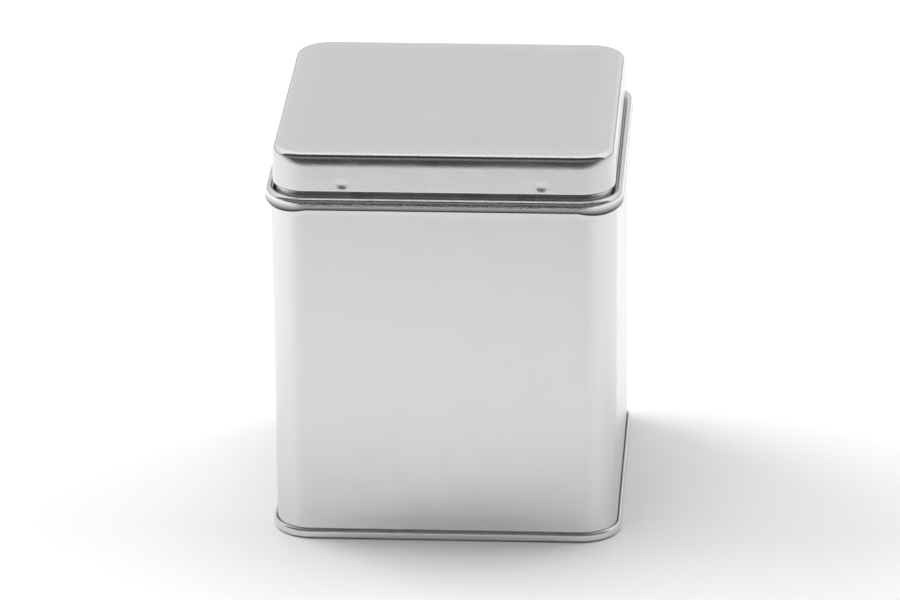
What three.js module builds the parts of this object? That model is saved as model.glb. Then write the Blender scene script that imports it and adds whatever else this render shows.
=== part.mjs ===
// Square tinplate spice tin with a slip lid.
//
// Four pressed or folded pieces of thin tinplate, in millimetres, +Z up, front towards -Y:
//   body_shell  the four-sided wall, closed by a folded lock seam at the middle of the back
//   base_panel  the sunken bottom, rolled onto the foot of the wall in a double seam
//   neck_ring   the collar that the lid slips over, rolled onto the top of the wall the same way
//   lid         the cap, with a rolled-in edge and small dimples that grip the collar
// Every piece is one sheet. Its centre line is drawn once as a section, given the sheet's
// thickness, and carried round a square with rounded corners. The origin is on the floor, under
// the middle of the tin.
import * as THREE from 'three';
import { mergeVertices } from 'three/addons/utils/BufferGeometryUtils.js';

// ---------- driving dimensions, mm ----------
const tinHeight = 93.2;          // floor to the top of the closed lid
const bodyWidth = 78;            // outside of the wall, the same both ways
const bodyCornerRadius = 8.5;    // outside of the wall's upright corners
const sheet = 0.25;              // tinplate

const baseSeamHeight = 2.2;
const baseSeamGap = 0.05;        // between the rolled layers of the base seam
const basePanelDepth = 3.2;      // floor to the underside of the sunken base
const basePanelBend = 0.7;       // centre-line radius where the base turns down to its seam

const neckSeamHeight = 3.1;
const neckSeamGap = 0.23;        // the neck seam is rolled looser, so it stands out further
const neckGrooveDepth = 3.8;     // top of the neck seam to the bottom of the groove inside it

const lidDepth = 9;              // top of the lid to its foot
const lidInset = 0.45;           // outside of the lid inside the outside of the wall
const lidFootGap = 1.1;          // foot of the lid above the top of the neck seam
const lidEdgeRadius = 1.5;       // outside of the lid's top edge
const lidHemGap = 0.05;          // between the two layers of the rolled-in edge
const lidHemHeight = 0.5;
const neckClearance = 0.45;      // outside of the neck to the inside of the lid
const lidSeatClearance = 0.3;    // top of the mouth's curl to the underside of the lid

const dimpleSpacing = 44.6;      // between the two dimples of one side
const dimpleWidth = 4.6;
const dimpleHeight = 3;
const dimpleAboveFoot = 1.9;     // middle of a dimple above the lid's foot
const dimpleClearance = 0.05;    // tip of a dimple to the outside of the neck

const lockSeamWidth = 4;
const lockSeamExtraLayers = 2;   // sheets that the folded seam adds on the inside of the wall
const lockSeamSetback = 1;       // ends of the seam to the pieces rolled onto the wall
const lockSeamSlope = 0.4;       // length over which its edges and ends run out

const cornerSteps = 6;           // flats that make up one rounded corner
const bendSteps = 4;             // corners of the line that make up a bend
const curlSteps = 9;             // and the longer curl of the mouth

// ---------- places worked out from them ----------
const bodyHalf = bodyWidth / 2;
const cornerCentre = bodyHalf - bodyCornerRadius;
const lidHalf = bodyHalf - lidInset;
const lidFoot = tinHeight - lidDepth;
const neckSeamTop = lidFoot - lidFootGap;
const neckHalf = lidHalf - sheet - neckClearance;
const neckTop = tinHeight - sheet - lidSeatClearance;
const neckCurlRadius = lidEdgeRadius - sheet - neckClearance - sheet / 2; // nests in the lid's edge
const neckGroove = neckSeamTop - neckGrooveDepth;
const dimpleDepth = neckClearance - dimpleClearance;

// ---------- sections ----------
// A section's points are (half width, height).

// A bend drawn with straight lines that all touch the circle, so that layers rolled round one
// another stay exactly as far apart as their radii.
function bend(centreX, centreZ, radius, fromDegrees, toDegrees, steps = bendSteps) {
  const turn = THREE.MathUtils.degToRad((toDegrees - fromDegrees) / steps);
  const start = THREE.MathUtils.degToRad(fromDegrees);
  const reach = radius / Math.cos(turn / 2);
  return Array.from({ length: steps }, (_, k) => {
    const angle = start + (k + 0.5) * turn;
    return new THREE.Vector2(centreX + reach * Math.cos(angle), centreZ + reach * Math.sin(angle));
  });
}

function point(halfWidth, height) {
  return new THREE.Vector2(halfWidth, height);
}

// The point at distance `offset` to the left of the line at one of its corners.
function offsetCorner(line, k, offset) {
  const before = line[k].clone().sub(line[Math.max(k - 1, 0)]);
  const after = line[Math.min(k + 1, line.length - 1)].clone().sub(line[k]);
  if (k === 0) before.copy(after);
  if (k === line.length - 1) after.copy(before);
  before.normalize();
  after.normalize();
  const mitre = offset / (1 + before.dot(after));
  return point(line[k].x - (before.y + after.y) * mitre, line[k].y + (before.x + after.x) * mitre);
}

// Gives a centre line the sheet's thickness.
function sheetSection(line) {
  const right = line.map((_, k) => offsetCorner(line, k, -sheet / 2));
  const left = line.map((_, k) => offsetCorner(line, k, sheet / 2));
  return [...right, ...left.reverse(), right[0].clone()];
}

// ---------- sweep round the rounded square ----------
// A column is a place on the square through the corner centres, and the way outwards there.
// `stations` gives extra columns on the straight sides, counted from the middle of each side.
function squareColumns(stations) {
  const columns = [];
  for (let side = 0; side < 4; side += 1) {
    const quarter = side * Math.PI / 2;
    const outwards = angle => point(Math.sin(angle), -Math.cos(angle));
    const middle = outwards(quarter);
    const along = point(-middle.y, middle.x);
    for (const s of stations[side] ?? []) {
      const foot = middle.clone().multiplyScalar(cornerCentre).addScaledVector(along, s);
      columns.push({ foot, outwards: middle, side, s });
    }
    const corner = middle.clone().add(along).multiplyScalar(cornerCentre);
    for (let k = 0; k <= cornerSteps; k += 1) {
      const angle = quarter + k / cornerSteps * Math.PI / 2;
      columns.push({ foot: corner, outwards: outwards(angle), side, s: null });
    }
  }
  return columns;
}

// Sides are numbered round from the front: 0 front, 1 right, 2 back, 3 left.
// `press` moves a point of the sheet inwards; it is given the column and the point.
function sweep(section, stations = {}, press = () => 0) {
  const columns = squareColumns(stations);
  const geometry = new THREE.LatheGeometry(section, columns.length);
  const places = geometry.getAttribute('position');
  for (let i = 0; i < places.count; i += 1) {
    const column = columns[Math.floor(i / section.length) % columns.length];
    const { x: halfWidth, y: height } = section[i % section.length];
    const reach = halfWidth - cornerCentre - press(column, halfWidth, height);
    const place = column.foot.clone().addScaledVector(column.outwards, reach);
    if (halfWidth < sheet) place.set(0, 0);
    places.setXYZ(i, place.x, place.y, height);
  }
  geometry.deleteAttribute('normal');
  geometry.deleteAttribute('uv');
  const merged = mergeVertices(geometry, sheet / 1000);
  merged.setIndex(withoutEmptyTriangles(merged.getIndex().array));
  merged.computeVertexNormals();
  return merged;
}

function withoutEmptyTriangles(index) {
  const kept = [];
  for (let i = 0; i < index.length; i += 3) {
    const [a, b, c] = index.slice(i, i + 3);
    if (a !== b && b !== c && c !== a) kept.push(a, b, c);
  }
  return kept;
}

// ---------- double seam ----------
// Centre lines of the two sheets that are rolled together, outwards from the wall. `edge` is the
// seam's outer end (top of the neck seam, foot of the base seam), and `up` is +1 where that end
// points up. From the inside out lie: the other piece's wall, the tin's wall, the other piece's
// hook, the wall's hook and the other piece's cover.
function doubleSeam(gap, height, edge, up) {
  const pitch = sheet + gap;
  const rollX = bodyHalf - sheet / 2 + pitch;
  const rollZ = edge - up * (2 * pitch + sheet / 2);
  const hookX = rollX + pitch;
  const hookZ = edge - up * (height - pitch - sheet / 2);
  return {
    innerX: rollX - 2 * pitch,
    rollZ,
    wallHook: [...bend(rollX, rollZ, pitch, 180, 180 - up * 180), point(hookX, hookZ)],
    cover: [
      ...bend(rollX, rollZ, 2 * pitch, 180, 180 - up * 180),
      ...bend(hookX, hookZ, pitch, 0, -up * 180),
      point(rollX, rollZ),
    ],
  };
}

const baseSeam = doubleSeam(baseSeamGap, baseSeamHeight, 0, -1);
const neckSeam = doubleSeam(neckSeamGap, neckSeamHeight, neckSeamTop, 1);

// ---------- pieces ----------
function bodyShell() {
  const foot = basePanelDepth + sheet + lockSeamSetback;
  const head = neckGroove - lockSeamSetback;
  const wall = [foot, foot + lockSeamSlope, head - lockSeamSlope, head];
  const line = [
    ...baseSeam.wallHook.toReversed(),
    ...wall.map(height => point(bodyHalf - sheet / 2, height)),
    ...neckSeam.wallHook,
  ];
  const ridge = lockSeamWidth / 2;
  const stations = [-ridge, -ridge + lockSeamSlope, ridge - lockSeamSlope, ridge];
  const onRidge = (column, halfWidth, height) => column.side === 2
    && column.s !== null && Math.abs(column.s) < ridge - lockSeamSlope / 2
    && halfWidth < bodyHalf - sheet / 2
    && height > foot + lockSeamSlope / 2 && height < head - lockSeamSlope / 2;
  const fold = (...where) => (onRidge(...where) ? lockSeamExtraLayers * sheet : 0);
  return sweep(sheetSection(line), { 2: stations }, fold);
}

function basePanel() {
  const panelZ = basePanelDepth + sheet / 2;
  const bendX = baseSeam.innerX - basePanelBend;
  const line = [
    point(0, panelZ),
    ...bend(bendX, panelZ - basePanelBend, basePanelBend, 90, 0),
    ...baseSeam.cover,
  ];
  return sweep(sheetSection(line));
}

function neckRing() {
  const wallX = neckHalf - sheet / 2;
  const grooveRadius = (neckSeam.innerX - wallX) / 2;
  const grooveX = wallX + grooveRadius;
  const grooveZ = neckGroove + grooveRadius + sheet / 2;
  const curlZ = neckTop - sheet / 2 - neckCurlRadius;
  const line = [
    ...bend(wallX - neckCurlRadius, curlZ, neckCurlRadius, 270, 0, curlSteps),
    ...bend(grooveX, grooveZ, grooveRadius, 180, 360),
    ...neckSeam.cover,
  ];
  return sweep(sheetSection(line));
}

function lid() {
  const topZ = tinHeight - sheet / 2;
  const wallX = lidHalf - sheet / 2;
  const edge = lidEdgeRadius - sheet / 2;
  const hemRadius = (sheet + lidHemGap) / 2;
  const hemZ = lidFoot + sheet / 2 + hemRadius;
  const dimpleZ = lidFoot + dimpleAboveFoot;
  const line = [
    point(wallX - 2 * hemRadius, lidFoot + lidHemHeight),
    ...bend(wallX - hemRadius, hemZ, hemRadius, 180, 360),
    ...[-0.5, 0, 0.5].map(share => point(wallX, dimpleZ + share * dimpleHeight)),
    ...bend(wallX - edge, topZ - edge, edge, 0, 90),
    point(0, topZ),
  ];
  const stations = [-1, 1].flatMap(hand => [-0.5, 0, 0.5]
    .map(share => hand * dimpleSpacing / 2 + share * dimpleWidth));
  const atTip = (column, height) => column.s !== null
    && Math.abs(Math.abs(column.s) - dimpleSpacing / 2) < dimpleWidth / 4
    && Math.abs(height - dimpleZ) < dimpleHeight / 4;
  const dimple = (column, _, height) => (atTip(column, height) ? dimpleDepth : 0);
  return sweep(sheetSection(line), { 0: stations, 2: stations }, dimple);
}

// ---------- finishes ----------
function tinplate(colour, roughness) {
  return new THREE.MeshStandardMaterial({ color: colour, roughness, metalness: 1 });
}

const tin = new THREE.Group();
const pieces = {
  body_shell: [bodyShell(), tinplate(0xcfd0d1, 0.34)],
  base_panel: [basePanel(), tinplate(0xc6c8c9, 0.32)],
  neck_ring: [neckRing(), tinplate(0xc8cacb, 0.28)],
  lid: [lid(), tinplate(0xcdcfd0, 0.32)],
};
for (const [name, [geometry, material]] of Object.entries(pieces)) {
  const mesh = new THREE.Mesh(geometry, material);
  mesh.name = name;
  tin.add(mesh);
}

export default tin;
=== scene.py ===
import math

import bmesh
import bpy
import numpy as np
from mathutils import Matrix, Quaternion, Vector


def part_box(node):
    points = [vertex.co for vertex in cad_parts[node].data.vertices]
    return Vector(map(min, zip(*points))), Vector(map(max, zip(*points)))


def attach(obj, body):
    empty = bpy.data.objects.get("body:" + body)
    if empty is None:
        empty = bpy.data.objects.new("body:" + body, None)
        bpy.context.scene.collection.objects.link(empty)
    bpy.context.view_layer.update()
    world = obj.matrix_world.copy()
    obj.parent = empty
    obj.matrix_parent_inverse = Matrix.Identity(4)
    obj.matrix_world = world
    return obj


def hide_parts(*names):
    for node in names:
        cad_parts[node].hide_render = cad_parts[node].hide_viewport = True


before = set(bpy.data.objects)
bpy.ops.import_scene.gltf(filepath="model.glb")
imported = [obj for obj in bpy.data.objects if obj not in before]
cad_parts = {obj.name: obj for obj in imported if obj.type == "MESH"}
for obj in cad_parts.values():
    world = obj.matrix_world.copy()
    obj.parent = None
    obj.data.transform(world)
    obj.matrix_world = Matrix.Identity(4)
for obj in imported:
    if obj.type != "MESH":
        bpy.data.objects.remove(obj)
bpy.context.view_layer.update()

bl_info = {
    "name": "Square Slip-Lid Tin",
    "version": (1, 0, 0),
    "blender": (4, 5, 0),
    "location": "3D View > Sidebar > Slip-Lid Tin",
    "description": "Folded and rolled tinplate pieces of a square slip-lid tin, with their finish "
                   "and a plain studio",
    "category": "Object",
}

MM = 0.001
CREST_FACES = 59  # degrees above the horizon that the flattened crest of a rolled seam faces
CORNER_TAPER = 0.45  # share of its depth that the neck seam's foot draws in at a corner
PANEL_RINGS = (0.86, 0.7, 0.54, 0.38, 0.22, 0.08)  # sizes of the rings that fill a flat panel

DIMPLE_SOFTNESS = 1.6  # the higher, the gentler the dimple's rim

# The lock seam. Its cuts, the flat part of its strip and its groove are in half widths of the seam.
LOCK_CUTS = (-1.12, -1.0, -0.88, -0.78, 0.78, 0.88, 0.94, 1.0, 1.06, 1.12)
LOCK_STRIP_FLAT = 0.88
LOCK_STRIP_INSET = 0.04 * MM
LOCK_GROOVE_HALF = 0.12
LOCK_GROOVE_DEPTH = 0.14 * MM

# How strongly each place is rubbed bright, 0 to 1.
WEAR_WALL = 0.5
WEAR_SEAM = 0.8
WEAR_LID_FOOT = 0.6

# Where the painted shade, a dark line laid along the foot of the neck seam, begins and where it is full,
# above that foot.
PAINTED_SHADE_BEGINS = 1.2 * MM
PAINTED_SHADE_FULL = 0.7 * MM

GRAIN_RELIEF = 0.012 * MM  # height of the stone finish's grain at a grain depth of 1
DULLING = 0.03  # how much the clouding moves the roughness either way
POLISH = -0.05  # what rubbing does to the roughness
SPECKS_PLAIN = 0.02  # light and dark of the specks on flat sheet, as a share of the colour
SPECKS_STRAINED = 0.15  # and what is added to that where the sheet was stretched

CARD_EDGES = (-1.6, 1.6, -0.36, 1.6)  # left, right, front and back, metres
CARD_COLOUR = "C9C9C9"

# The sky's brightness by degrees up and over from the front horizon (0) to the back one (180): a
# dark room in front with a dim strip low down, and soft light overhead that fades towards the back.
SKY = (
    (0, 0.03), (15, 0.12), (30, 0.12), (45, 0.02), (75, 0.02),
    (90, 0.55), (130, 0.48), (158, 0.43), (180, 0.4),
)
SKY_STRENGTH = 2.0

# Name, place (m), width (m) and watts of each softbox.
SOFTBOXES = (
    ("softbox_above", (-0.1, 0.06, 0.9), 1.6, 7.2),
    ("softbox_left", (-0.8, 0.3, 0.9), 0.8, 12.0),
    ("softbox_right", (0.8, 0.3, 0.9), 0.8, 6.5),
)
SOFTBOX_DEPTH = 0.6  # front to back, m

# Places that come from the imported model.
NECK_LOW, NECK_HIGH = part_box("neck_ring")
LID_LOW, LID_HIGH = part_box("lid")
BASE_LOW, BASE_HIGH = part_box("base_panel")


# ---------------------------------------------------------------- settings

class TinSizes(bpy.types.PropertyGroup):
    """Sizes of the sheet and its bends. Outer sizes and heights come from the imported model."""

    sheet: bpy.props.FloatProperty(
        name="Sheet", description="Thickness of the tinplate", default=0.25 * MM, unit="LENGTH")
    body_corner: bpy.props.FloatProperty(
        name="Body corner", description="Outside radius of the wall's upright corners",
        default=8.5 * MM, unit="LENGTH")
    base_seam_gap: bpy.props.FloatProperty(
        name="Base seam gap", description="Between the rolled layers of the base seam",
        default=0.05 * MM, unit="LENGTH")
    base_seam_height: bpy.props.FloatProperty(
        name="Base seam height", description="Height of the rolled base seam",
        default=2.2 * MM, unit="LENGTH")
    base_seam_roll: bpy.props.FloatProperty(
        name="Base seam roll", description="Height of the roll that the base seam shows, from its middle",
        default=0.7 * MM, unit="LENGTH")
    base_bend: bpy.props.FloatProperty(
        name="Base bend", description="Centre-line radius where the base turns down",
        default=0.7 * MM, unit="LENGTH")
    neck_seam_gap: bpy.props.FloatProperty(
        name="Neck seam gap", description="Between the rolled layers of the neck seam",
        default=0.23 * MM, unit="LENGTH")
    neck_seam_height: bpy.props.FloatProperty(
        name="Neck seam height", description="Height of the rolled neck seam",
        default=2.8 * MM, unit="LENGTH")
    neck_seam_roll: bpy.props.FloatProperty(
        name="Neck seam roll", description="Height of the roll under the neck seam, from its middle",
        default=0.3 * MM, unit="LENGTH")
    neck_seam_below_foot: bpy.props.FloatProperty(
        name="Neck seam below foot", description="Top of the neck seam below the lid's foot",
        default=1.1 * MM,
        unit="LENGTH")
    neck_seam_lean: bpy.props.FloatProperty(
        name="Neck seam lean", description="How far the seam's face leans back at its top", default=0.3 * MM,
        unit="LENGTH")
    neck_clearance: bpy.props.FloatProperty(
        name="Neck clearance", description="Outside of the neck to the inside of the lid", default=0.45 * MM,
        unit="LENGTH")
    corner_droop: bpy.props.FloatProperty(
        name="Corner droop", description="How much taller the neck seam is where it turns a corner",
        default=1.0 * MM,
        unit="LENGTH")
    seam_flat: bpy.props.FloatProperty(
        name="Seam flat", description="Arc of a seam's roll that the seaming tool flattens",
        default=math.radians(28), subtype="ANGLE")
    lid_edge: bpy.props.FloatProperty(
        name="Lid edge", description="Outside radius of the lid's top edge", default=1.5 * MM, unit="LENGTH")
    lid_shoulder: bpy.props.FloatProperty(
        name="Lid shoulder", description="Radius of the slow bend between the lid's edge and its skirt",
        default=11 * MM, unit="LENGTH")
    lid_shoulder_turn: bpy.props.FloatProperty(
        name="Lid shoulder turn", description="How far the slow bend turns", default=math.radians(10),
        subtype="ANGLE")
    hem_gap: bpy.props.FloatProperty(
        name="Hem gap", description="Between the layers of the lid's rolled-in foot",
        default=0.05 * MM, unit="LENGTH")
    hem_height: bpy.props.FloatProperty(
        name="Hem height", description="Height of the lid's rolled-in foot", default=0.5 * MM, unit="LENGTH")
    dimple_spacing: bpy.props.FloatProperty(
        name="Dimple spacing", description="Between the two dimples of a side",
        default=44.6 * MM, unit="LENGTH")
    dimple_width: bpy.props.FloatProperty(
        name="Dimple width", description="Width of a pressed dimple", default=3.2 * MM, unit="LENGTH")
    dimple_height: bpy.props.FloatProperty(
        name="Dimple height", description="Height of a pressed dimple", default=2.6 * MM, unit="LENGTH")
    dimple_depth: bpy.props.FloatProperty(
        name="Dimple depth", description="Depth of a pressed dimple", default=0.1 * MM, unit="LENGTH")
    dimple_above_foot: bpy.props.FloatProperty(
        name="Dimple above foot", description="Middle of a dimple above the lid's foot", default=1.9 * MM,
        unit="LENGTH")
    lock_seam_width: bpy.props.FloatProperty(
        name="Lock seam width", description="Width of the folded seam at the back",
        default=4 * MM, unit="LENGTH")
    corner_steps: bpy.props.IntProperty(
        name="Corner steps", description="Flats that make up a rounded corner", default=22, min=4)
    bend_steps: bpy.props.IntProperty(
        name="Bend steps", description="Flats that make up a bend", default=10, min=3)


class TinFinish(bpy.types.PropertyGroup):
    """Colours and grain of the tinplate, and the colour of the shade painted along the foot of the neck
    seam.
    """

    light: bpy.props.StringProperty(
        name="Tin", description="Colour of the clean tin coating, sRGB hex", default="D8D7D8")
    dark: bpy.props.StringProperty(
        name="Dulled tin", description="Colour of the tin where it is dulled, sRGB hex", default="CDCCCD")
    worn: bpy.props.StringProperty(
        name="Burnished tin", description="Colour of the tin where rolls and hands rub it, sRGB hex",
        default="E6E5E5")
    # Painted shade: a dark colour laid along the foot of the neck seam, standing in for the shadow under the
    # seam.
    painted_shade: bpy.props.StringProperty(
        name="Painted shade", description="Colour of the dull line that gathers under the neck seam, sRGB hex",
        default="3C3B3A")
    grain: bpy.props.FloatProperty(
        name="Grain", description="Size of the stone finish's grain", default=0.32 * MM, unit="LENGTH")
    mottle: bpy.props.FloatProperty(
        name="Mottle", description="Size of the soft clouding", default=6 * MM, unit="LENGTH")


class TinStudio(bpy.types.PropertyGroup):
    """Where the camera stands and what it looks at."""

    azimuth: bpy.props.FloatProperty(
        name="Azimuth", description="Camera's way round from the front",
        default=math.radians(3.85), subtype="ANGLE")
    elevation: bpy.props.FloatProperty(
        name="Elevation", description="Camera's height above the horizon", default=math.radians(21.78),
        subtype="ANGLE")
    roll: bpy.props.FloatProperty(
        name="Roll", description="Camera's turn about its own axis",
        default=math.radians(-0.58), subtype="ANGLE")
    distance: bpy.props.FloatProperty(
        name="Distance", description="Camera to the point it looks at", default=1.374, unit="LENGTH")
    lens: bpy.props.FloatProperty(name="Lens", description="Focal length, mm", default=237.2)
    target: bpy.props.FloatVectorProperty(
        name="Target", description="Point that the camera looks at", default=(-0.96 * MM, 0, 43.26 * MM),
        subtype="TRANSLATION", size=3)


def sizes():
    return bpy.context.scene.tin_sizes


def finish_settings():
    return bpy.context.scene.tin_finish


# ---------------------------------------------------------------- node helper

def add(tree, kind, inputs=None, **settings):
    """Adds a node with its settings; an input is a value, or a socket to link from."""
    node = tree.nodes.new(kind)
    for name, value in settings.items():
        setattr(node, name, value)
    for name, value in (inputs or {}).items():
        if isinstance(value, bpy.types.NodeSocket):
            tree.links.new(value, node.inputs[name])
        else:
            node.inputs[name].default_value = value
    return node


# ---------------------------------------------------------------- sheet sections

def bend(centre_x, centre_z, radius, from_degrees, to_degrees, steps=None):
    """Points of a bend whose flats all touch the circle, so rolled layers stay evenly apart."""
    steps = steps or sizes().bend_steps
    turn = math.radians(to_degrees - from_degrees) / steps
    reach = radius / math.cos(turn / 2)
    angles = [math.radians(from_degrees) + (k + 0.5) * turn for k in range(steps)]
    return [(centre_x + reach * math.cos(a), centre_z + reach * math.sin(a)) for a in angles]


def run(start, end, steps):
    """Evenly spaced points from start to end, both included."""
    return [tuple(p) for p in np.linspace(start, end, steps + 1)]


def thicken(line, sheet):
    """The outline of a sheet whose centre line is given: one side out, the other side back."""
    line = np.array(line, float)
    ways = np.diff(line, axis=0)
    ways /= np.linalg.norm(ways, axis=1)[:, None]
    before = np.vstack([ways[:1], ways])
    after = np.vstack([ways, ways[-1:]])
    mitre = sheet / 2 / (1 + (before * after).sum(1))
    sideways = np.stack([-(before + after)[:, 1], (before + after)[:, 0]], axis=1) * mitre[:, None]
    return np.vstack([line - sideways, (line + sideways)[::-1]])


def double_seam(gap, height, roll, edge, up):
    """Centre lines of the sheets rolled together at the wall's head (up 1) or foot (up -1)."""
    s = sizes()
    pitch = s.sheet + gap
    roll_x = body_half() - s.sheet / 2 + pitch
    roll_z = edge - up * (2 * pitch + s.sheet / 2)
    hook_x = roll_x + pitch
    hook_z = edge - up * (height - roll - s.sheet / 2)
    wall_hook = bend(roll_x, roll_z, pitch, 180, 180 - up * 180) + [(hook_x, hook_z)]
    flat = math.degrees(s.seam_flat)
    crest = bend(roll_x, roll_z, 2 * pitch, 180, 180 - up * (180 - CREST_FACES - flat / 2))
    front = bend(roll_x, roll_z, 2 * pitch, up * (CREST_FACES - flat / 2), 0)
    hook = [(x, hook_z + (z - hook_z) * roll / pitch) for x, z in bend(hook_x, hook_z, pitch, 0, -up * 180)]
    cover = crest + run(crest[-1], front[0], 6)[1:-1] + front + hook + [(roll_x, roll_z)]
    return {"inner_x": roll_x - 2 * pitch, "roll_z": roll_z, "wall_hook": wall_hook, "cover": cover}


def body_half():
    s = sizes()
    return NECK_HIGH.x - 3 * (s.sheet + s.neck_seam_gap)


def corner_centre():
    return body_half() - sizes().body_corner


def neck_seam_top():
    return LID_LOW.z - sizes().neck_seam_below_foot


def base_seam():
    s = sizes()
    return double_seam(s.base_seam_gap, s.base_seam_height, s.base_seam_roll, BASE_LOW.z, -1)


def neck_seam():
    s = sizes()
    return double_seam(s.neck_seam_gap, s.neck_seam_height, s.neck_seam_roll, neck_seam_top(), 1)


def body_line():
    s = sizes()
    wall_x = body_half() - s.sheet / 2
    foot = BASE_HIGH.z + 1 * MM
    head = NECK_LOW.z - 1 * MM
    wall = run((wall_x, foot), (wall_x, head), 36)
    return base_seam()["wall_hook"][::-1] + wall + neck_seam()["wall_hook"]


def base_line():
    s = sizes()
    seam = base_seam()
    panel_z = BASE_HIGH.z - s.sheet / 2
    bend_x = seam["inner_x"] - s.base_bend
    return [panel_start(panel_z)] + bend(bend_x, panel_z - s.base_bend, s.base_bend, 90, 0) + seam["cover"]


def neck_line():
    s = sizes()
    seam = neck_seam()
    wall_x = LID_HIGH.x - s.sheet - s.neck_clearance - s.sheet / 2
    curl = s.lid_edge - s.sheet - s.neck_clearance - s.sheet / 2
    curl_z = NECK_HIGH.z - s.sheet / 2 - curl
    groove = (seam["inner_x"] - wall_x) / 2
    groove_z = NECK_LOW.z + s.sheet / 2 + groove
    return (bend(wall_x - curl, curl_z, curl, 270, 0, 2 * s.bend_steps)
            + bend(wall_x + groove, groove_z, groove, 180, 360) + seam["cover"])


def lid_line():
    s = sizes()
    top_z = LID_HIGH.z - s.sheet / 2
    wall_x = LID_HIGH.x - s.sheet / 2
    edge = s.lid_edge - s.sheet / 2
    hem = (s.sheet + s.hem_gap) / 2
    hem_z = LID_LOW.z + s.sheet / 2 + hem
    slow = s.lid_shoulder
    turn = s.lid_shoulder_turn
    edge_x = wall_x - slow + (slow - edge) * math.cos(turn)
    slow_z = top_z - edge - (slow - edge) * math.sin(turn)
    skirt = run((wall_x, hem_z + hem), (wall_x, slow_z - hem), 22)
    return ([(wall_x - 2 * hem, LID_LOW.z + s.hem_height)] + bend(wall_x - hem, hem_z, hem, 180, 360, 8)
            + skirt + bend(wall_x - slow, slow_z, slow, 0, math.degrees(turn), 8)
            + bend(edge_x, top_z - edge, edge, math.degrees(turn), 90) + [panel_start(top_z)])


def panel_start(height):
    """Where a flat panel's sweep begins; the panel is filled in from there."""
    return (corner_centre() + 0.5 * MM, height)


# ---------------------------------------------------------------- sweep round the tin

def socket(tree, name, kind, where="INPUT", default=None):
    made = tree.interface.new_socket(name, in_out=where, socket_type=kind)
    if default is not None:
        made.default_value = default
    return made


def sweep_tree():
    """Carries a section, drawn in the XZ plane, round a square with rounded corners."""
    tree = bpy.data.node_groups.new("Rolled sheet", "GeometryNodeTree")
    tree.is_modifier = True
    socket(tree, "Section", "NodeSocketGeometry")
    socket(tree, "Half Width", "NodeSocketFloat")
    socket(tree, "Corner Radius", "NodeSocketFloat")
    socket(tree, "Corner Steps", "NodeSocketInt")
    socket(tree, "Side Cuts", "NodeSocketInt")
    socket(tree, "Finish", "NodeSocketMaterial")
    socket(tree, "Piece", "NodeSocketGeometry", "OUTPUT")
    given = add(tree, "NodeGroupInput").outputs
    profile = add(tree, "GeometryNodeMeshToCurve", {"Mesh": given["Section"]})
    upright = add(tree, "GeometryNodeTransform", {
        "Geometry": profile.outputs[0], "Rotation": (math.pi / 2, 0, 0)})
    width = add(tree, "ShaderNodeMath", {0: given["Half Width"], 1: 2.0}, operation="MULTIPLY")
    square = add(tree, "GeometryNodeCurvePrimitiveQuadrilateral", {
        "Width": width.outputs[0], "Height": width.outputs[0]})
    rounded = add(tree, "GeometryNodeFilletCurve", {
        "Curve": square.outputs[0], "Radius": given["Corner Radius"],
        "Count": given["Corner Steps"]}, mode="POLY")
    place = add(tree, "GeometryNodeInputPosition")
    index = add(tree, "GeometryNodeInputIndex")
    size = add(tree, "GeometryNodeAttributeDomainSize", {"Geometry": rounded.outputs[0]}, component="CURVE")
    following = add(tree, "ShaderNodeMath", {0: index.outputs[0], 1: 1.0}, operation="ADD")
    wrapped = add(tree, "ShaderNodeMath", {
        0: following.outputs[0], 1: size.outputs["Point Count"]}, operation="FLOORED_MODULO")
    next_place = add(tree, "GeometryNodeFieldAtIndex", {
        "Value": place.outputs[0], "Index": wrapped.outputs[0]}, data_type="FLOAT_VECTOR", domain="POINT")
    length = add(tree, "ShaderNodeVectorMath", {
        0: place.outputs[0], 1: next_place.outputs[0]}, operation="DISTANCE")
    straight = add(tree, "FunctionNodeCompare", {
        0: length.outputs["Value"], 1: given["Corner Radius"]}, data_type="FLOAT", operation="GREATER_THAN")
    cuts = add(tree, "ShaderNodeMath", {0: straight.outputs[0], 1: given["Side Cuts"]}, operation="MULTIPLY")
    path = add(tree, "GeometryNodeSubdivideCurve", {"Curve": rounded.outputs[0], "Cuts": cuts.outputs[0]})
    level = add(tree, "GeometryNodeSetCurveNormal", {"Curve": path.outputs[0]}, mode="Z_UP")
    swept = add(tree, "GeometryNodeCurveToMesh", {
        "Curve": level.outputs[0], "Profile Curve": upright.outputs[0], "Fill Caps": False})
    real = add(tree, "GeometryNodeRealizeInstances", {"Geometry": swept.outputs[0]})
    finished = add(tree, "GeometryNodeSetMaterial", {
        "Geometry": real.outputs[0], "Material": given["Finish"]})
    add(tree, "NodeGroupOutput", {"Piece": finished.outputs[0]})
    return tree


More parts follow.
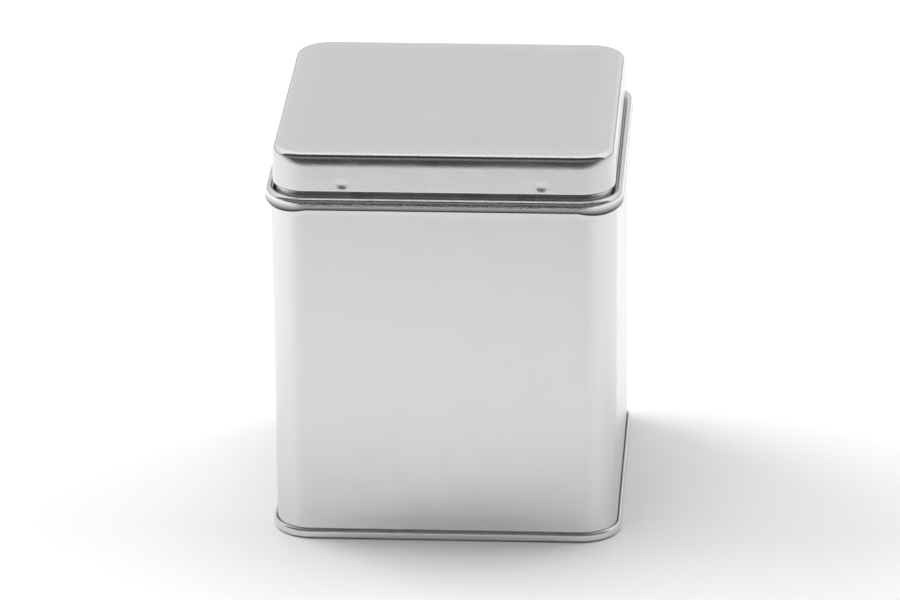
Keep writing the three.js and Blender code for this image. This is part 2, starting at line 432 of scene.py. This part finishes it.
def dimple_tree():
    """Presses a pair of dimples into the front and the back of the lid's skirt."""
    tree = bpy.data.node_groups.new("Pressed dimples", "GeometryNodeTree")
    tree.is_modifier = True
    socket(tree, "Skirt", "NodeSocketGeometry")
    for name in ("Spacing", "Width", "Height", "Depth", "Middle Height", "Face"):
        socket(tree, name, "NodeSocketFloat")
    socket(tree, "Finish", "NodeSocketMaterial")
    socket(tree, "Pressed", "NodeSocketGeometry", "OUTPUT")
    given = add(tree, "NodeGroupInput").outputs

    place = add(tree, "GeometryNodeInputPosition")
    xyz = add(tree, "ShaderNodeSeparateXYZ", {0: place.outputs[0]}).outputs
    # How far a point is from the nearer dimple's middle, across and up, in half sizes.
    side = add(tree, "ShaderNodeMath", {0: xyz[0]}, operation="ABSOLUTE")
    half_spacing = add(tree, "ShaderNodeMath", {0: given["Spacing"], 1: 0.5}, operation="MULTIPLY")
    half_width = add(tree, "ShaderNodeMath", {0: given["Width"], 1: 0.5}, operation="MULTIPLY")
    half_height = add(tree, "ShaderNodeMath", {0: given["Height"], 1: 0.5}, operation="MULTIPLY")
    off_middle = add(tree, "ShaderNodeMath", {
        0: side.outputs[0], 1: half_spacing.outputs[0]}, operation="SUBTRACT")
    off_height = add(tree, "ShaderNodeMath", {0: xyz[2], 1: given["Middle Height"]}, operation="SUBTRACT")
    across = add(tree, "ShaderNodeMath", {
        0: off_middle.outputs[0], 1: half_width.outputs[0]}, operation="DIVIDE")
    upward = add(tree, "ShaderNodeMath", {
        0: off_height.outputs[0], 1: half_height.outputs[0]}, operation="DIVIDE")
    across_squared = add(tree, "ShaderNodeMath", {0: across.outputs[0], 1: 2.0}, operation="POWER")
    upward_squared = add(tree, "ShaderNodeMath", {0: upward.outputs[0], 1: 2.0}, operation="POWER")
    reach = add(tree, "ShaderNodeMath", {
        0: across_squared.outputs[0], 1: upward_squared.outputs[0]}, operation="ADD")
    # The bowl: 1 in the middle, 0 at the rim, with a soft edge.
    left_over = add(tree, "ShaderNodeMath", {0: 1.0, 1: reach.outputs[0]}, operation="SUBTRACT")
    kept = add(tree, "ShaderNodeMath", {0: left_over.outputs[0], 1: 0.0}, operation="MAXIMUM")
    bowl = add(tree, "ShaderNodeMath", {0: kept.outputs[0], 1: DIMPLE_SOFTNESS}, operation="POWER")
    depth = add(tree, "ShaderNodeMath", {0: bowl.outputs[0], 1: given["Depth"]}, operation="MULTIPLY")
    # Only the front and back faces are pressed, each towards the middle of the tin.
    off_centre = add(tree, "ShaderNodeMath", {0: xyz[1]}, operation="ABSOLUTE")
    on_face = add(tree, "ShaderNodeMath", {
        0: off_centre.outputs[0], 1: given["Face"]}, operation="GREATER_THAN")
    outward = add(tree, "ShaderNodeMath", {0: xyz[1]}, operation="SIGN")
    inward = add(tree, "ShaderNodeMath", {0: outward.outputs[0], 1: -1.0}, operation="MULTIPLY")
    way = add(tree, "ShaderNodeMath", {0: inward.outputs[0], 1: on_face.outputs[0]}, operation="MULTIPLY")
    push = add(tree, "ShaderNodeMath", {0: depth.outputs[0], 1: way.outputs[0]}, operation="MULTIPLY")
    shift = add(tree, "ShaderNodeCombineXYZ", {"Y": push.outputs[0]})
    pressed = add(tree, "GeometryNodeSetPosition", {"Geometry": given["Skirt"], "Offset": shift.outputs[0]})
    real = add(tree, "GeometryNodeRealizeInstances", {"Geometry": pressed.outputs[0]})
    finished = add(tree, "GeometryNodeSetMaterial", {
        "Geometry": real.outputs[0], "Material": given["Finish"]})
    add(tree, "NodeGroupOutput", {"Pressed": finished.outputs[0]})
    return tree


def set_inputs(modifier, values):
    """Sets a Geometry Nodes modifier's inputs by the sockets' identifiers."""
    for item in modifier.node_group.interface.items_tree:
        if item.in_out == "INPUT" and item.name in values:
            modifier[item.identifier] = values[item.name]


def section_object(name, line, closed):
    """A section as a mesh of edges in the XZ plane, counted from the wall's outside."""
    outline = thicken(line, sizes().sheet)
    points = [(x - body_half(), 0, z) for x, z in outline]
    if closed:
        edges = [(k, (k + 1) % len(points)) for k in range(len(points))]
    else:
        half = len(points) // 2
        order = list(range(len(points)))
        if line_ends_inside(line):
            order = order[half:] + order[:half]
        edges = list(zip(order, order[1:]))
    mesh = bpy.data.meshes.new(name)
    mesh.from_pydata(points, edges, [])
    piece = bpy.data.objects.new(name, mesh)
    bpy.context.collection.objects.link(piece)
    return piece


def line_ends_inside(line):
    return line[-1][0] < line[0][0]


def apply_tree(piece, tree, values):
    """Runs a Geometry Nodes tree on a piece and keeps the result as its plain mesh."""
    modifier = piece.modifiers.new(tree.name, "NODES")
    modifier.node_group = tree
    set_inputs(modifier, values)
    evaluated = piece.evaluated_get(bpy.context.evaluated_depsgraph_get())
    made = bpy.data.meshes.new_from_object(evaluated)
    piece.modifiers.remove(modifier)
    old = piece.data
    piece.data = made
    made.name = piece.name
    bpy.data.meshes.remove(old)


def sweep(name, line, finish, closed=True, side_cuts=24):
    """A piece from its centre line, swept round the tin."""
    piece = section_object(name, line, closed)
    apply_tree(piece, sweep_tree(), {
        "Half Width": body_half(), "Corner Radius": sizes().body_corner,
        "Corner Steps": sizes().corner_steps, "Side Cuts": side_cuts, "Finish": finish})
    if not closed:
        fill_panel(piece)
    shade(piece)
    return piece


def fill_panel(piece):
    """Closes the top and underside of a flat panel with rings that shrink to one point."""
    made = bmesh.new()
    made.from_mesh(piece.data)
    rim = [e for e in made.edges if e.is_boundary]
    last = 1.0
    for share in PANEL_RINGS:
        grown = bmesh.ops.extrude_edge_only(made, edges=rim)["geom"]
        rim = [g for g in grown if isinstance(g, bmesh.types.BMEdge)]
        points = [g for g in grown if isinstance(g, bmesh.types.BMVert)]
        for point in points:
            point.co.x *= share / last
            point.co.y *= share / last
        rim = [e for e in rim if e.is_boundary]
        last = share
    middle = sum(p.co.z for p in points) / len(points)
    rings = [p for p in points if p.co.z > middle], [p for p in points if p.co.z <= middle]
    for ring in rings:
        bmesh.ops.pointmerge(made, verts=ring, merge_co=Vector((0, 0, ring[0].co.z)))
    bmesh.ops.remove_doubles(made, verts=made.verts, dist=0.001 * MM)
    bmesh.ops.recalc_face_normals(made, faces=made.faces)
    made.to_mesh(piece.data)
    made.free()


def shade(piece):
    piece.data.shade_smooth()
    if any(face.normal.length == 0 for face in piece.data.polygons):
        raise RuntimeError(f"{piece.name} has an empty face")


def place_piece(piece, body, node):
    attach(piece, body)
    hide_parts(node)


# ---------------------------------------------------------------- shaping rules

def points_of(piece):
    co = np.empty(len(piece.data.vertices) * 3)
    piece.data.vertices.foreach_get("co", co)
    return co.reshape(-1, 3)


def set_points(piece, co):
    piece.data.vertices.foreach_set("co", co.ravel())
    piece.data.update()


def outwards(co):
    """How far each point is outside the corner centres, and how much it is on a corner (0 to 1)."""
    side = np.clip(np.abs(co[:, :2]) - corner_centre(), 0, None)
    reach = np.maximum(np.linalg.norm(side, axis=1), 1e-9)
    return reach, np.clip(2 * side[:, 0] * side[:, 1] / reach ** 2, 0, 1)


def draw_in(co, pull):
    """Moves points towards the corner centres, by a share of how far outside them they are."""
    side = np.clip(np.abs(co[:, :2]) - corner_centre(), 0, None)
    co[:, :2] -= np.sign(co[:, :2]) * side * pull[:, None]


def droop_corners(piece):
    """The rolled seam is taller and tapers inwards where it turns a corner."""
    s = sizes()
    co = points_of(piece)
    reach, turning = outwards(co)
    seam_foot = neck_seam_top() - s.neck_seam_height
    outer = (reach > s.body_corner + 0.01 * MM) * (co[:, 2] > seam_foot - s.sheet)
    down = np.clip((neck_seam_top() - co[:, 2]) / s.neck_seam_height, 0, 1) * turning * outer
    proud = np.clip(reach - s.body_corner, 0, None)
    draw_in(co, proud * CORNER_TAPER * down ** 2 / reach)
    co[:, 2] -= s.corner_droop * down
    set_points(piece, co)


def lean_seam(piece):
    """The neck seam's face leans back and flares towards its foot, because it is rolled loosely."""
    s = sizes()
    co = points_of(piece)
    reach = outwards(co)[0]
    seam_depth = NECK_HIGH.x - body_half()
    proud = np.clip((reach - s.body_corner) / seam_depth, 0, 1)
    height = np.clip(1 - (neck_seam_top() - co[:, 2]) / s.neck_seam_height, 0, 1)
    in_seam = co[:, 2] > neck_seam_top() - s.neck_seam_height - s.sheet
    draw_in(co, s.neck_seam_lean * proud * (1 - (1 - height) ** 2) * in_seam / reach)
    set_points(piece, co)


def fade(values, start, end):
    """0 at start, 1 at end, and smooth between."""
    share = np.clip((values - start) / (end - start), 0, 1)
    return share * share * (3 - 2 * share)


def mark(piece, name, values):
    """Writes a wear mask for the finish to read, one value for each point."""
    layer = piece.data.attributes.new(name, "FLOAT", "POINT")
    layer.data.foreach_set("value", values.astype(np.float32))


def mark_wall(piece):
    """The upright corners are rubbed by hands and by the other tins in a box."""
    corner = outwards(points_of(piece))[1]
    mark(piece, "rubbed", WEAR_WALL * fade(corner, 0.4, 1.0))


def mark_seam(piece, top, height, grain):
    """The crest and face of a seam are burnished by the roll; along the foot of a neck seam, shade is
    painted in (mark_neck).
    """
    co = points_of(piece)
    reach, corner = outwards(co)
    proud = fade(reach, sizes().body_corner, NECK_HIGH.x - corner_centre())
    below = top - co[:, 2]
    in_seam = (below < height + sizes().sheet) * (below > -sizes().sheet)
    mark(piece, "rubbed", WEAR_SEAM * proud * in_seam)
    mark(piece, "strained", grain * proud * in_seam * (1 - corner))
    return proud, below


def mark_neck(piece):
    s = sizes()
    proud, below = mark_seam(piece, neck_seam_top(), s.neck_seam_height, 1.0)
    foot = s.neck_seam_height
    # Painted shade: the lowest part of the neck seam is darkened as if by the shadow under it.
    mark(piece, "painted_shade", (proud > 0.05) * fade(below, foot - PAINTED_SHADE_BEGINS, foot - PAINTED_SHADE_FULL))


def mark_lid(piece):
    """The lid's top edge and its foot are rubbed bright."""
    s = sizes()
    co = points_of(piece)
    reach, corner = outwards(co)
    edge = fade(reach, s.body_corner - 2.4 * MM, s.body_corner - 1.2 * MM)
    top = fade(co[:, 2], LID_HIGH.z - s.lid_edge, LID_HIGH.z - 0.5 * MM) * edge
    foot = WEAR_LID_FOOT * fade(-co[:, 2], -LID_LOW.z - s.hem_height, -LID_LOW.z)
    mark(piece, "rubbed", np.maximum(top, foot))
    shoulder = fade(co[:, 2], LID_HIGH.z - s.lid_edge - 2.2 * MM, LID_HIGH.z - s.lid_edge - 0.8 * MM)
    flat = fade(co[:, 2], LID_HIGH.z - 0.3 * MM, LID_HIGH.z)
    mark(piece, "strained", shoulder * (1 - flat) * (1 - corner))


def fold_lock_seam(piece):
    """The wall's ends are folded together at the middle of the back: the folded layers stand out
    inside, and outside the joint is a shallow groove beside a strip that is pressed in a little."""
    s = sizes()
    half = s.lock_seam_width / 2
    wall_y = body_half() - s.sheet / 2
    made = bmesh.new()
    made.from_mesh(piece.data)
    for x in LOCK_CUTS:
        back = [f for f in made.faces if f.calc_center_median().y > corner_centre()]
        near = {e for f in back for e in f.edges} | {v for f in back for v in f.verts} | set(back)
        bmesh.ops.bisect_plane(made, geom=list(near), plane_co=(x * half, 0, 0), plane_no=(1, 0, 0))
    made.to_mesh(piece.data)
    made.free()
    co = points_of(piece)
    foot = BASE_HIGH.z + 1 * MM
    head = NECK_LOW.z - 1 * MM
    ends = fade(co[:, 2], foot, foot + 2 * MM) * fade(-co[:, 2], -head, -head + 2 * MM)
    on_back = (co[:, 1] > wall_y - s.sheet) * ends
    strip = fade(-np.abs(co[:, 0]), -half, -half * LOCK_STRIP_FLAT) * on_back
    inside = co[:, 1] < wall_y
    groove = np.clip(1 - np.abs(co[:, 0] - half) / (LOCK_GROOVE_HALF * half), 0, 1) * on_back * ~inside
    co[:, 1] -= 2 * s.sheet * strip * inside
    co[:, 1] -= LOCK_STRIP_INSET * strip * ~inside + LOCK_GROOVE_DEPTH * groove
    set_points(piece, co)


# ---------------------------------------------------------------- finishes

def linear(hex_colour):
    """An sRGB hex colour as linear RGBA."""
    parts = [int(hex_colour[k:k + 2], 16) / 255 for k in (0, 2, 4)]
    return (*[c / 12.92 if c <= 0.04045 else ((c + 0.055) / 1.055) ** 2.4 for c in parts], 1.0)


def tinplate(name, roughness, grain_depth):
    """Tinplate with a stone finish: a dull silver-white that softens reflections and breaks them
    into fine grain at their edges."""
    f = finish_settings()
    material = bpy.data.materials.new(name)
    material.use_nodes = True
    tree = material.node_tree
    tree.nodes.clear()
    where = add(tree, "ShaderNodeTexCoord").outputs["Object"]
    clouds = add(tree, "ShaderNodeTexNoise", {
        "Vector": where, "Scale": 1 / f.mottle, "Detail": 3.0, "Roughness": 0.55})
    grain = add(tree, "ShaderNodeTexNoise", {
        "Vector": where, "Scale": 1 / f.grain, "Detail": 2.0, "Roughness": 0.6})
    rubbed = add(tree, "ShaderNodeAttribute", attribute_name="rubbed").outputs["Fac"]
    # The foot of the neck seam is darkened with painted shade, standing in for the shadow under the seam.
    painted_shade = add(tree, "ShaderNodeAttribute", attribute_name="painted_shade").outputs["Fac"]
    tin = add(tree, "ShaderNodeMix", {
        0: clouds.outputs["Fac"], 6: linear(f.dark), 7: linear(f.light)}, data_type="RGBA")
    worn = add(tree, "ShaderNodeMix", {0: rubbed, 6: tin.outputs[2], 7: linear(f.worn)}, data_type="RGBA")
    colour = add(tree, "ShaderNodeMix", {0: painted_shade, 6: worn.outputs[2], 7: linear(f.painted_shade)}, data_type="RGBA")
    # Sheet that was stretched in a bend shows its grain as fine light and dark specks.
    strained = add(tree, "ShaderNodeAttribute", attribute_name="strained").outputs["Fac"]
    peel = add(tree, "ShaderNodeMath", {
        0: strained, 1: SPECKS_STRAINED, 2: SPECKS_PLAIN}, operation="MULTIPLY_ADD")
    speck = add(tree, "ShaderNodeMapRange", {
        "Value": grain.outputs["Fac"], "From Min": 0.35, "From Max": 0.65, "To Min": -1.0, "To Max": 1.0})
    shade_of_grain = add(tree, "ShaderNodeMath", {0: peel.outputs[0], 1: speck.outputs[0], 2: 1.0},
                         operation="MULTIPLY_ADD")
    flecked = add(tree, "ShaderNodeVectorMath", {0: colour.outputs[2], "Scale": shade_of_grain.outputs[0]},
                  operation="SCALE")
    dull = add(tree, "ShaderNodeMapRange", {
        "Value": clouds.outputs["Fac"], "From Min": 0.3, "From Max": 0.7,
        "To Min": roughness - DULLING, "To Max": roughness + DULLING})
    polished = add(tree, "ShaderNodeMath", {
        0: rubbed, 1: POLISH, 2: dull.outputs[0]}, operation="MULTIPLY_ADD")
    bump = add(tree, "ShaderNodeBump", {
        "Height": grain.outputs["Fac"], "Distance": GRAIN_RELIEF * grain_depth, "Strength": 1.0})
    shader = add(tree, "ShaderNodeBsdfPrincipled", {
        "Base Color": flecked.outputs["Vector"], "Roughness": polished.outputs[0], "Normal": bump.outputs[0],
        "Metallic": 1.0})
    add(tree, "ShaderNodeOutputMaterial", {"Surface": shader.outputs[0]})
    return material


# ---------------------------------------------------------------- operators

class TIN_OT_body_shell(bpy.types.Operator):
    """Makes the four-sided wall with its hooks"""

    bl_idname = "tin.body_shell"
    bl_label = "Body Shell"

    def execute(self, context):
        # The wall is the flattest sheet: soft, wide reflections, with the least grain.
        piece = sweep("tin_wall", body_line(), tinplate("Stone-finish tinplate, wall", 0.22, 0.8))
        lean_seam(piece)
        droop_corners(piece)
        fold_lock_seam(piece)
        mark_wall(piece)
        shade(piece)
        place_piece(piece, "tin", "body_shell")
        return {"FINISHED"}


class TIN_OT_base_panel(bpy.types.Operator):
    """Makes the sunken base with its rolled seam"""

    bl_idname = "tin.base_panel"
    bl_label = "Base Panel"

    def execute(self, context):
        # The base has the wall's soft reflections, with a little more grain.
        finish = tinplate("Stone-finish tinplate, base", 0.22, 1.0)
        piece = sweep("tin_base", base_line(), finish, closed=False)
        mark_seam(piece, sizes().base_seam_height, sizes().base_seam_height, 0.2)
        place_piece(piece, "tin", "base_panel")
        return {"FINISHED"}


class TIN_OT_neck_ring(bpy.types.Operator):
    """Makes the neck with its rolled seam, groove and curled mouth"""

    bl_idname = "tin.neck_ring"
    bl_label = "Neck Ring"

    def execute(self, context):
        # The neck is rolled hard: sharper, brighter lines, and strong grain that breaks them up.
        piece = sweep("tin_neck", neck_line(), tinplate("Rolled tinplate, neck", 0.18, 3.0))
        lean_seam(piece)
        mark_neck(piece)
        droop_corners(piece)
        place_piece(piece, "tin", "neck_ring")
        return {"FINISHED"}


class TIN_OT_lid(bpy.types.Operator):
    """Makes the slip lid with its rolled-in foot and pressed dimples"""

    bl_idname = "tin.lid"
    bl_label = "Lid"

    def execute(self, context):
        s = sizes()
        # The lid is pressed: slightly sharper reflections than the wall's, and more grain.
        finish = tinplate("Stone-finish tinplate, lid", 0.2, 1.3)
        piece = sweep("tin_lid", lid_line(), finish, closed=False, side_cuts=180)
        apply_tree(piece, dimple_tree(), {
            "Spacing": s.dimple_spacing, "Width": s.dimple_width, "Height": s.dimple_height,
            "Depth": s.dimple_depth, "Middle Height": LID_LOW.z + s.dimple_above_foot,
            "Face": corner_centre() + 0.5 * s.body_corner, "Finish": finish})
        mark_lid(piece)
        place_piece(piece, "lid", "lid")
        return {"FINISHED"}


class TIN_OT_stage(bpy.types.Operator):
    """Makes the floor, the lights and the camera"""

    bl_idname = "tin.stage"
    bl_label = "Stage"

    def execute(self, context):
        make_floor()
        make_world()
        make_softboxes()
        make_camera(context)
        context.scene.view_settings.view_transform = "Standard"
        return {"FINISHED"}


def set_stops(ramp, stops, low, high):
    """Sets a colour ramp to grey brightness values at places between low and high."""
    elements = ramp.color_ramp.elements
    while len(elements) < len(stops):
        elements.new(0.5)
    for element, (place, value) in zip(elements, stops):
        element.position = (place - low) / (high - low)
        element.color = (value, value, value, 1)


def make_floor():
    """A plain sheet of pale card under the tin, the same to every ray."""
    left, right, front, back = CARD_EDGES
    mesh = bpy.data.meshes.new("card")
    corners = [(left, front, 0), (right, front, 0), (right, back, 0), (left, back, 0)]
    mesh.from_pydata(corners, [], [(0, 1, 2, 3)])
    floor = bpy.data.objects.new("card", mesh)
    bpy.context.collection.objects.link(floor)
    material = bpy.data.materials.new("Pale card")
    material.use_nodes = True
    tree = material.node_tree
    tree.nodes.clear()
    paper = add(tree, "ShaderNodeBsdfDiffuse", {"Color": linear(CARD_COLOUR)})
    add(tree, "ShaderNodeOutputMaterial", {"Surface": paper.outputs[0]})
    mesh.materials.append(material)


def make_world():
    """The studio's sky, which lights the tin and shows in it; the camera sees plain white instead."""
    world = bpy.data.worlds.new("Studio")
    bpy.context.scene.world = world
    world.use_nodes = True
    tree = world.node_tree
    tree.nodes.clear()
    way = add(tree, "ShaderNodeTexCoord").outputs["Generated"]
    xyz = add(tree, "ShaderNodeSeparateXYZ", {0: way}).outputs
    ahead = add(tree, "ShaderNodeMath", {0: xyz[1], 1: -1.0}, operation="MULTIPLY")
    swing = add(tree, "ShaderNodeMath", {0: xyz[2], 1: ahead.outputs[0]}, operation="ARCTAN2")
    share = add(tree, "ShaderNodeMapRange", {
        "Value": swing.outputs[0], "From Min": 0.0, "From Max": math.pi, "To Min": 0.0, "To Max": 1.0})
    ramp = add(tree, "ShaderNodeValToRGB", {"Fac": share.outputs[0]})
    set_stops(ramp, SKY, 0, 180)
    sky = add(tree, "ShaderNodeBackground", {"Color": ramp.outputs["Color"], "Strength": SKY_STRENGTH})
    white = add(tree, "ShaderNodeBackground", {"Color": (1, 1, 1, 1), "Strength": 1.0})
    eye = add(tree, "ShaderNodeLightPath").outputs["Is Camera Ray"]
    both = add(tree, "ShaderNodeMixShader", {0: eye, 1: sky.outputs[0], 2: white.outputs[0]})
    add(tree, "ShaderNodeOutputWorld", {"Surface": both.outputs[0]})


def make_softboxes():
    """Soft lights above and behind the tin; they light the card, and don't show in the tin."""
    for name, place, width, watts in SOFTBOXES:
        data = bpy.data.lights.new(name, "AREA")
        data.shape = "RECTANGLE"
        data.size = width
        data.size_y = SOFTBOX_DEPTH
        data.energy = watts
        box = bpy.data.objects.new(name, data)
        bpy.context.collection.objects.link(box)
        box.location = place
        box.rotation_euler = Vector(place).to_track_quat("Z", "Y").to_euler()
        box.visible_glossy = False
        box.visible_camera = False


def make_camera(context):
    studio = context.scene.tin_studio
    data = bpy.data.cameras.new("camera")
    camera = bpy.data.objects.new("camera", data)
    context.collection.objects.link(camera)
    data.sensor_width = 36
    data.lens = studio.lens
    a, e = studio.azimuth, studio.elevation
    back = Vector((math.sin(a) * math.cos(e), -math.cos(a) * math.cos(e), math.sin(e)))
    camera.rotation_mode = "QUATERNION"
    camera.location = Vector(studio.target) + back * studio.distance
    turn = (-back).to_track_quat("-Z", "Y")
    camera.rotation_quaternion = turn @ Quaternion((0, 0, 1), studio.roll)
    data.clip_start = 0.05
    data.clip_end = 20
    context.scene.camera = camera


class TIN_PT_panel(bpy.types.Panel):
    """Lists the tin's pieces"""

    bl_idname = "TIN_PT_panel"
    bl_label = "Slip-Lid Tin"
    bl_space_type = "VIEW_3D"
    bl_region_type = "UI"
    bl_category = "Slip-Lid Tin"

    def draw(self, context):
        for operator in PIECES:
            self.layout.operator(operator.bl_idname)


PIECES = (TIN_OT_stage, TIN_OT_body_shell, TIN_OT_base_panel, TIN_OT_neck_ring, TIN_OT_lid)
CLASSES = (TinSizes, TinFinish, TinStudio, *PIECES, TIN_PT_panel)


def register():
    for each in CLASSES:
        bpy.utils.register_class(each)
    bpy.types.Scene.tin_sizes = bpy.props.PointerProperty(type=TinSizes)
    bpy.types.Scene.tin_finish = bpy.props.PointerProperty(type=TinFinish)
    bpy.types.Scene.tin_studio = bpy.props.PointerProperty(type=TinStudio)


def unregister():
    del bpy.types.Scene.tin_sizes
    del bpy.types.Scene.tin_finish
    del bpy.types.Scene.tin_studio
    for each in reversed(CLASSES):
        bpy.utils.unregister_class(each)


def main():
    register()
    bpy.ops.tin.stage()
    bpy.ops.tin.body_shell()
    bpy.ops.tin.base_panel()
    bpy.ops.tin.neck_ring()
    bpy.ops.tin.lid()


if __name__ == "__main__":
    main()
